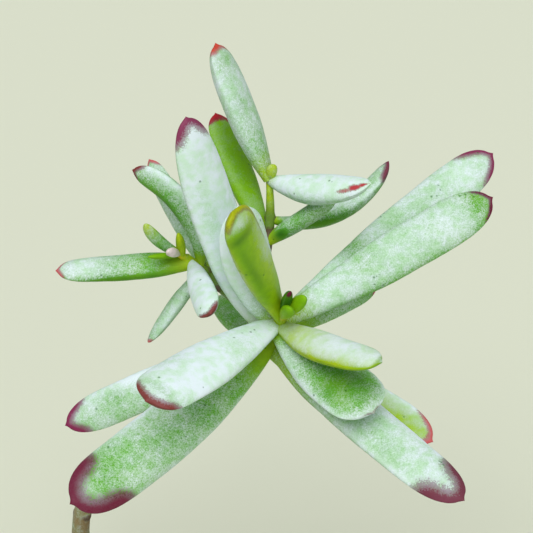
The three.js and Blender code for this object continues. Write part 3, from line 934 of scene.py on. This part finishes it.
def living_skin(name, grain, patchiness, gloss):
    """Green flesh under white wax that is rubbed off in specks, with a blushed rim.

    grain and patchiness: how far the wax breaks up into specks and into patches.
    gloss: how rough bare flesh is.
    """
    nodes = Nodes(name)
    plus, times, ramp = nodes.plus, nodes.times, nodes.ramp
    fine, small, middle, broad = (nodes.noise(*settings) for settings in SKIN_NOISES)
    flesh = nodes.attribute("flesh", "Color")
    bloom = nodes.attribute("bloom", "Fac")
    share = nodes.attribute("blush_share", "Fac")
    blush = nodes.attribute("blush", "Color")
    grains = times(plus(fine, -0.5), FINE_GRAIN)
    grains = plus(grains, times(plus(small, -0.5), SMALL_GRAIN))

    # The flesh is a little darker and lighter from place to place.
    flesh = nodes.mix(ramp(middle, *FLESH_DARKENED), flesh, DEEP_GREEN)
    flesh = nodes.mix(ramp(broad, *FLESH_FRESHENED), flesh, FRESH_GREEN)

    # The blush: dark where it starts, deep red at the rim, and broken up into specks between.
    share = plus(share, times(times(grains, BLUSH_GRAIN), ramp(share, *BLUSH_BROKEN)))
    dusk = ramp(share, *BLUSH_DUSKY)
    rim = ramp(share, *BLUSH_FULL)
    shaded_blush = nodes.mix(rim, nodes.mix(BLUSH_DARKNESS, blush, DUSK), blush)
    dulled = times(dusk, ramp(bloom, *DUSK_BY_BLOOM))
    coloured = nodes.mix(dulled, flesh, DUSK)
    coloured = nodes.mix(ramp(share, *BLUSH_RED), coloured, shaded_blush)

    # A film of wax, in patches and specks that fade out where the wax is thick or gone.
    kept = times(ramp(bloom, *WAX_UNEVEN), ramp(bloom, *WAX_PRESENT))
    patches = times(times(plus(plus(middle, broad), -1.0), patchiness), kept)
    specks = times(times(grains, grain), kept)
    film = plus(plus(bloom, patches), specks)
    film = nodes.math("MINIMUM", nodes.math("MAXIMUM", film, 0.0), THICKEST_WAX)
    bared = plus(times(dusk, DUSK_BARES), times(rim, RIM_BARES))
    cover = times(film, nodes.math("SUBTRACT", 1.0, bared))
    tint = plus(times(middle, 0.5), times(broad, 0.5))
    wax = nodes.mix(ramp(tint, *WAX_WHITE), MINT, FARINA)
    colour = nodes.mix(cover, coloured, wax)

    # A few dark specks.
    picked = nodes.math("GREATER_THAN", nodes.noise(*SPOT_NOISE), SPOT_RARITY)
    speck = times(ramp(nodes.cells(SPOT_CELLS), *SPOT_EDGE), picked)
    colour = nodes.mix(times(speck, SPOT_DARKNESS), colour, DEEP_GREEN)

    roughness = ramp(cover, 0.0, 0.8, gloss, WAX_ROUGHNESS)
    height = plus(times(fine, 0.6), middle)
    return nodes.finish(colour, roughness, 0.2, height, depth=0.00018, strength=0.6)


def build_leaves(skins):
    """A fine leaf in place of each solid one. One with a green of its own is a young leaf."""
    for seed, (name, leaf) in enumerate(LEAVES.items(), start=1):
        shoot = SHOOTS[name.split("_")[0]]
        surface = leaf_surface(shoot, leaf, LEAF_ROWS, LEAF_COLUMNS)
        points = np.clip(relief(surface, seed), BOX_LOW, BOX_HIGH)
        mesh = painted_mesh(name + "_skin", [(points, paint_leaf(surface, leaf))])
        slot = "young_leaf" if "flesh" in leaf else "mealy_leaf"
        place_piece(mesh, skins[slot], name)


def stem_surface(shoot):
    """A fine round skin along a shoot's curve, with its radius and its place along."""
    line, reach = curve_through(shoot["path"])
    share = np.linspace(0, 1, STEM_ROWS + 1)
    distance = share * reach[-1]
    centre = along_curve(line, reach, distance)
    run = unit(np.gradient(centre, axis=0))
    across = [np.cross(run[0], [1, 0, 0])]
    for way in run:
        across.append(unit(across[-1] - way * np.dot(across[-1], way)))
    across = np.array(across[1:])
    up = np.cross(run, across)
    steps = np.arange(len(shoot["radii"]))
    radius = np.interp(share * steps[-1], steps, shoot["radii"])
    angle = np.arange(STEM_COLUMNS) / STEM_COLUMNS * 2 * math.pi
    ring = across[:, None] * np.cos(angle)[:, None] + up[:, None] * np.sin(angle)[:, None]
    return centre, ring, radius, distance, angle


def scarred_stem(shoot, seed):
    """A stem's skin with the scars that fallen leaves left, and its colours."""
    centre, ring, radius, distance, angle = stem_surface(shoot)
    left = distance[-1] - distance
    scars = np.zeros((len(distance), len(angle)))
    number, place = 0, FIRST_SCAR
    while place < distance[-1]:
        facing = (number % 2) * math.pi / 2 + seed
        for side in (0, math.pi):
            aside = swing(angle, facing + side) / SCAR_SWING
            along = (left[:, None] - place) / SCAR_LENGTH
            scars += SCAR_HEIGHT * np.exp(-(along**2) - aside**2)
        number += 1
        place += shoot["scar_gap"] * (1 + SCAR_GAP_SHARE * math.sin(number * SCAR_GAP_PACE))
    points = centre[:, None] + ring * (radius[:, None, None] - STEM_INSET + scars[..., None])
    lumps = uneven(points, STEM_LUMP_LENGTH, seed) * STEM_LUMP_HEIGHT
    points = points + ring * lumps[..., None]

    # Both ends are closed at the stem's middle line.
    ends = [np.broadcast_to(end, (1, len(angle), 3)) for end in (centre[0], centre[-1])]
    points = np.concatenate([ends[0], points, ends[1]])
    left = np.tile(np.pad(left, 1, mode="edge")[:, None], len(angle))
    scars = np.pad(scars, ((1, 1), (0, 0)), mode="edge")

    bark = smooth(*BARK_SPAN, left)
    flesh = np.broadcast_to(AMBER, (*left.shape, 3))
    flesh = mix(flesh, YELLOW_GREEN, smooth(*GREENING_SPAN, left))
    flesh = mix(flesh, STEM_GREEN, smooth(*DULLING_SPAN, left))
    flesh = mix(flesh, BARK, bark)
    share = np.clip(scars * SCAR_SHADE, 0, 1) * smooth(*SCAR_SHADE_SPAN, left)
    # Dark bands at the nodes, partly painted shade: the one at 19 mm on the upper shoot stands for
    # the shaded gap beside upper_leaf_5.
    for node in shoot.get("nodes", []):
        share = np.maximum(share, NODE_DARKNESS_AND_SHADE * np.exp(-(((left - node) / NODE_LENGTH) ** 2)))
    return points, {
        "flesh": flesh,
        "blush": np.broadcast_to(BARK * SCAR_DARKNESS, (*left.shape, 3)),
        "bloom": STEM_WAX * smooth(*STEM_WAX_SPAN, left) - BARK_WEAR * bark,
        "blush_share": share,
    }


def build_stems(skin):
    """A fine stem with its buds in place of each solid one."""
    for seed, (title, shoot) in enumerate(SHOOTS.items(), start=1):
        patches = [scarred_stem(shoot, seed)]
        for bud in BUDS[title]:
            surface = leaf_surface(shoot, bud, BUD_ROWS, BUD_COLUMNS)
            patches.append((surface["points"], paint_leaf(surface, bud)))
        mesh = painted_mesh(shoot["solid"] + "_skin", patches)
        place_piece(mesh, skin, shoot["solid"])


def lathe_rows(profile):
    """Rings of points round the upright axis, from a profile of radius and height."""
    angle = np.arange(POT_SIDES) / POT_SIDES * 2 * math.pi
    rings = [[(r * math.cos(a), r * math.sin(a), z) for a in angle] for r, z in profile]
    return np.array(rings)


def rounded(profile, radius):
    """The profile with its corners rounded off."""
    corners = [np.array(corner, float) for corner in profile]
    points = [corners[0]]
    for before, corner, after in zip(corners, corners[1:], corners[2:]):
        sides = [before - corner, after - corner]
        sizes = [np.linalg.norm(side) for side in sides]
        reach = min(radius, *(size / CORNER_LIMIT for size in sizes))
        start, end = (corner + side / size * reach for side, size in zip(sides, sizes))
        for t in np.linspace(0, 1, CORNER_STEPS):
            points.append(start * (1 - t) ** 2 + corner * 2 * t * (1 - t) + end * t**2)
    points.append(corners[-1])
    return points


def divided(points, longest):
    """The line with long stretches divided."""
    fine = [points[0]]
    for start, end in zip(points, points[1:]):
        count = max(1, math.ceil(np.linalg.norm(end - start) / longest))
        fine += [start + (end - start) * (i + 1) / count for i in range(count)]
    return fine


def sharpen(mesh, angle):
    """Smooth shading, with edges kept sharp where faces meet at more than that angle."""
    mesh.shade_smooth()
    work = bmesh.new()
    work.from_mesh(mesh)
    for edge in work.edges:
        edge.smooth = edge.calc_face_angle(0) < angle
    work.to_mesh(mesh)
    work.free()


def closed_mesh(name, rings):
    """A closed mesh of rings whose first and last ring are single points."""
    rows, columns = rings.shape[:2]
    mesh = bpy.data.meshes.new(name)
    mesh.from_pydata((rings.reshape(-1, 3) * MM).tolist(), [], skin_faces(rows - 1, columns))
    weld(mesh)
    return mesh


def pot_rings():
    """The pot's wall, turned on a wheel: fine lines run round its outside."""
    neck = POT_RIM_RADIUS - RIM_PROUD
    rim_foot = POT_HEIGHT - RIM_BAND_HEIGHT
    inner_rim = neck - POT_WALL
    profile = [
        (0, 0),
        (POT_BASE_RADIUS - POT_EDGE, 0),
        (POT_BASE_RADIUS, POT_EDGE),
        (neck - RIM_UNDERCUT, rim_foot),
        (POT_RIM_RADIUS - POT_EDGE, rim_foot + POT_EDGE),
        (POT_RIM_RADIUS, rim_foot + RIM_CHAMFER),
        (POT_RIM_RADIUS, POT_HEIGHT - POT_EDGE),
        (POT_RIM_RADIUS - POT_EDGE, POT_HEIGHT),
        (inner_rim + POT_EDGE, POT_HEIGHT),
        (inner_rim, POT_HEIGHT - POT_EDGE),
        (POT_BASE_RADIUS - POT_WALL, POT_FLOOR),
        (0, POT_FLOOR),
    ]
    rings = lathe_rows(divided(rounded(profile, POT_ROUNDING), POT_STRETCH))
    radius = np.hypot(rings[..., 0], rings[..., 1])
    height = rings[..., 2]
    wall = smooth(*TURNED_OUTSIDE, radius) * smooth(*TURNED_FROM, height)
    wall *= 1 - smooth(*TURNED_TO, height)
    sway = TURNING_SWAY * np.sin(height * TURNING_PACE)
    turning = 0.5 + 0.5 * np.sin(height / TURNING_GAP * 2 * math.pi + sway)
    wobble = 0.5 + 0.5 * uneven(rings, WOBBLE_LENGTH, WOBBLE_SEED)
    cut = wall * TURNING_DEPTH * (turning + wobble)
    share = np.where(radius > 0, (radius - cut) / np.maximum(radius, 1e-9), 1)
    rings[..., :2] *= share[..., None]
    return rings


def clay_material():
    """Unglazed clay: warm and dusty, with sand in it, and pale salts low down and at the rim."""
    nodes = Nodes("clay_skin")
    plus, times, ramp = nodes.plus, nodes.times, nodes.ramp
    sand, middle, broad = (nodes.noise(*settings) for settings in CLAY_NOISES)
    axes = nodes.add("ShaderNodeSeparateXYZ")
    nodes.feed(axes.inputs[0], nodes.place)
    height = axes.outputs["Z"]
    colour = nodes.mix(ramp(broad, *CLAY_PALER), CLAY_RED, CLAY_PALE)
    colour = nodes.mix(ramp(middle, *CLAY_BURNT), colour, CLAY_BROWN)
    colour = nodes.mix(ramp(sand, *SAND_BRIGHT), colour, PALE_SAND)
    colour = nodes.mix(ramp(sand, *SAND_DARK), colour, BROWN_SAND)

    # The salts end in an uneven line.
    foot = ramp(plus(height, times(broad, -0.03)), *SALTS_AT_FOOT)
    lip = ramp(plus(height, times(broad, 0.016)), *SALTS_AT_LIP)
    salts = times(plus(foot, lip), ramp(middle, *SALTS_BROKEN))
    colour = nodes.mix(salts, colour, SALTS)

    roughness = ramp(middle, *CLAY_ROUGHNESS)
    relief_height = plus(times(sand, 0.5), times(middle, 0.8))
    return nodes.finish(colour, roughness, 0.3, relief_height, depth=0.0004, strength=0.7)


def build_pot():
    """The clay pot with its drainage holes."""
    piece = place_piece(closed_mesh("pot_skin", pot_rings()), clay_material(), "pot")
    for number in range(DRAIN_HOLES):
        angle = (number + 0.5) / DRAIN_HOLES * 2 * math.pi
        bpy.ops.mesh.primitive_cylinder_add(
            vertices=DRAIN_SIDES,
            radius=DRAIN_RADIUS * MM,
            depth=POT_FLOOR * 3 * MM,
            location=[value * MM for value in on_circle(DRAIN_CIRCLE_RADIUS, angle, 0)],
        )
        drill = bpy.context.object
        cut = piece.modifiers.new("drain", "BOOLEAN")
        cut.object = drill
        cut.solver = "EXACT"
        bpy.context.view_layer.objects.active = piece
        bpy.ops.object.modifier_apply(modifier=cut.name)
        bpy.data.objects.remove(drill)
    sharpen(piece.data, POT_CREASE)


def on_circle(radius, angle, height):
    return (radius * math.cos(angle), radius * math.sin(angle), height)


def inner_radius(height):
    """Inner radius of the pot at a height."""
    low = POT_BASE_RADIUS - POT_WALL
    high = POT_RIM_RADIUS - RIM_PROUD - POT_WALL
    return low + (high - low) * (height - POT_FLOOR) / (POT_HEIGHT - POT_EDGE - POT_FLOOR)


def soil_height(radius, edge):
    """Height of the soil's top at a distance from the middle."""
    shoulder = edge * SHOULDER_RADIUS_SHARE
    heights = (SOIL_CROWN, SOIL_CROWN * SHOULDER_CROWN_SHARE, 0)
    return SOIL_LEVEL + float(np.interp(radius, (0, shoulder, edge), heights))


def repeatable_draw(seed):
    """The same stream of numbers from 0 to 1 as the solids' stones are laid by."""
    state = float(seed)
    while True:
        state = (state * 1103515245.0 + 12345.0) % 2147483648.0
        yield state / 2147483648.0


def stones(edge):
    """Centre, size, turn and shape of each stone and grain on the soil."""
    draw = repeatable_draw(STONE_SEED)
    for number in range(STONE_COUNT):
        reach = (edge - STONE_SIZE) * math.sqrt((number + 0.5) / STONE_COUNT)
        angle = number * STONE_TURN + next(draw)
        size = STONE_SIZE * (0.5 + 0.5 * next(draw))
        height = SOIL_LEVEL + SOIL_CROWN * (1 - reach / edge)
        turn = 2 * math.pi * next(draw)
        yield on_circle(reach, angle, height), size, turn, STONE_SHAPE
    random = np.random.default_rng(GRAIN_SEED)
    for _ in range(GRAIN_COUNT):
        share = random.random() ** GRAIN_SMALLNESS
        size = SMALLEST_GRAIN + (LARGEST_GRAIN - SMALLEST_GRAIN) * share
        reach = (edge - size) * math.sqrt(random.random())
        angle = 2 * math.pi * random.random()
        height = soil_height(reach, edge) + size * (LEAST_RISE + MORE_RISE * random.random())
        shape = random.uniform(*GRAIN_SHAPES, 3)
        turn = 2 * math.pi * random.random()
        yield on_circle(reach, angle, height), size, turn, shape


def ball(subdivisions):
    """Points and faces of a ball of radius 1."""
    work = bmesh.new()
    bmesh.ops.create_icosphere(work, subdivisions=subdivisions, radius=1)
    points = np.array([vertex.co[:] for vertex in work.verts])
    faces = [tuple(vertex.index for vertex in face.verts) for face in work.faces]
    work.free()
    return points, faces


def soil_material():
    """Gritty potting mix: dark crumbs among pale stones, each grain in its own tone."""
    nodes = Nodes("soil_skin")
    fine, middle = (nodes.noise(*settings) for settings in SOIL_NOISES)
    tone = nodes.attribute("tone", "Color")
    colour = nodes.mix(nodes.ramp(fine, *SOIL_SHADED), tone, CRUMB_DARK)
    colour = nodes.mix(nodes.ramp(middle, *SOIL_DUSTED), colour, CRUMB_PALE)
    roughness = nodes.ramp(middle, *SOIL_ROUGHNESS)
    height = nodes.plus(fine, middle)
    return nodes.finish(colour, roughness, 0.25, height, depth=0.0006, strength=0.8)


def build_soil():
    """The soil: a crumbly crown that fills the pot, with stones and grains on it."""
    bottom = POT_FLOOR + FLOOR_CLEARANCE
    edge = inner_radius(SOIL_LEVEL) - WALL_CLEARANCE
    foot = inner_radius(bottom) - WALL_CLEARANCE
    side = [(0, bottom), (foot, bottom), (edge, SOIL_LEVEL)]
    top = [(radius, soil_height(radius, edge)) for radius in np.linspace(edge, 0, SOIL_RINGS)]
    rings = lathe_rows(side + top[1:])
    radius = np.hypot(rings[..., 0], rings[..., 1])
    lumps = sum(height * uneven(rings, length, seed) for height, length, seed in SOIL_LUMPS)
    inside = smooth(0, SOIL_LUMP_EDGE, edge - radius)
    rings[..., 2] += lumps * (inside * smooth(SOIL_LEVEL - 1, SOIL_LEVEL, rings[..., 2]))
    body = closed_mesh("soil_body", rings)
    vertices = [np.array([vertex.co[:] for vertex in body.vertices]) / MM]
    faces = [tuple(face.vertices) for face in body.polygons]
    tones = [np.broadcast_to(PEAT, vertices[0].shape)]
    first = len(vertices[0])
    coarse, fine = ball(1), ball(2)
    random = np.random.default_rng(GRAIN_SEED + 1)
    for centre, size, turn, shape in stones(edge):
        points, ball_faces = fine if size > FINE_GRAIN_SIZE else coarse
        shift = Vector(random.uniform(-CHIP_SHIFT, CHIP_SHIFT, 3))
        chips = [noise.noise(Vector(point) * CHIP_PACE + shift) for point in points]
        grain = points * shape * size * (1 + CHIP_HEIGHT * np.array(chips))[:, None]
        cos, sin = math.cos(turn), math.sin(turn)
        vertices.append(grain @ np.array([[cos, sin, 0], [-sin, cos, 0], [0, 0, 1]]) + centre)
        tone = GRIT_TONES[random.integers(len(GRIT_TONES))] * random.uniform(*GRAIN_TONES)
        tones.append(np.broadcast_to(tone, grain.shape))
        faces += [tuple(first + corner for corner in face) for face in ball_faces]
        first += len(points)
    mesh = bpy.data.meshes.new("soil_skin")
    mesh.from_pydata((np.vstack(vertices) * MM).tolist(), [], faces)
    add_attribute(mesh, "tone", np.vstack(tones))
    mesh.shade_smooth()
    place_piece(mesh, soil_material(), "soil")


def build_floor():
    """A plain pale floor."""
    mesh = bpy.data.meshes.new("floor")
    ways = ((-1, -1), (1, -1), (1, 1), (-1, 1))
    corners = [(x * FLOOR_REACH, y * FLOOR_REACH, 0) for x, y in ways]
    mesh.from_pydata(corners, [], [(0, 1, 2, 3)])
    floor = bpy.data.objects.new("floor", mesh)
    bpy.context.scene.collection.objects.link(floor)
    nodes = Nodes("floor_paint")
    nodes.shader.inputs["Base Color"].default_value = (*FLOOR_PAINT, 1)
    nodes.shader.inputs["Roughness"].default_value = 0.9
    mesh.materials.append(nodes.material)


def build_lights():
    """Soft daylight from above."""
    world = bpy.data.worlds.new("daylight")
    bpy.context.scene.world = world
    world.use_nodes = True
    background = world.node_tree.nodes["Background"]
    background.inputs["Color"].default_value = SKY_TINT
    background.inputs["Strength"].default_value = SKY_STRENGTH
    for name, way, strength, width in SUNS:
        light = bpy.data.lights.new(name, "SUN")
        light.energy = strength
        light.angle = math.radians(width)
        lamp = bpy.data.objects.new(name, light)
        lamp.location = way
        lamp.rotation_euler = Vector(way).to_track_quat("Z", "Y").to_euler()
        bpy.context.scene.collection.objects.link(lamp)


def build_camera():
    """The photograph's view."""
    camera = bpy.data.cameras.new("camera")
    camera.sensor_width = CAMERA_SENSOR
    camera.lens = CAMERA_SENSOR * CAMERA_FOCUS_PIXELS / IMAGE_SIZE
    camera.clip_start = CAMERA_NEAR
    holder = bpy.data.objects.new("camera", camera)
    holder.location = [value * MM for value in CAMERA_PLACE]
    holder.rotation_euler = (CAMERA_PITCH, 0, 0)
    bpy.context.scene.collection.objects.link(holder)
    bpy.context.scene.camera = holder


# Each skin's grain, patchiness and gloss, by material slot.
skins = {
    "mealy_leaf": living_skin("mealy_leaf_skin", 1.05, 0.5, 0.5),
    "young_leaf": living_skin("young_leaf_skin", 0.35, 0.5, 0.38),
    "stem": living_skin("stem_skin", 0.6, 0.7, 0.5),
}
build_leaves(skins)
build_stems(skins["stem"])
build_pot()
build_soil()
build_floor()
build_lights()
build_camera()
bpy.context.scene.view_settings.view_transform = "Standard"
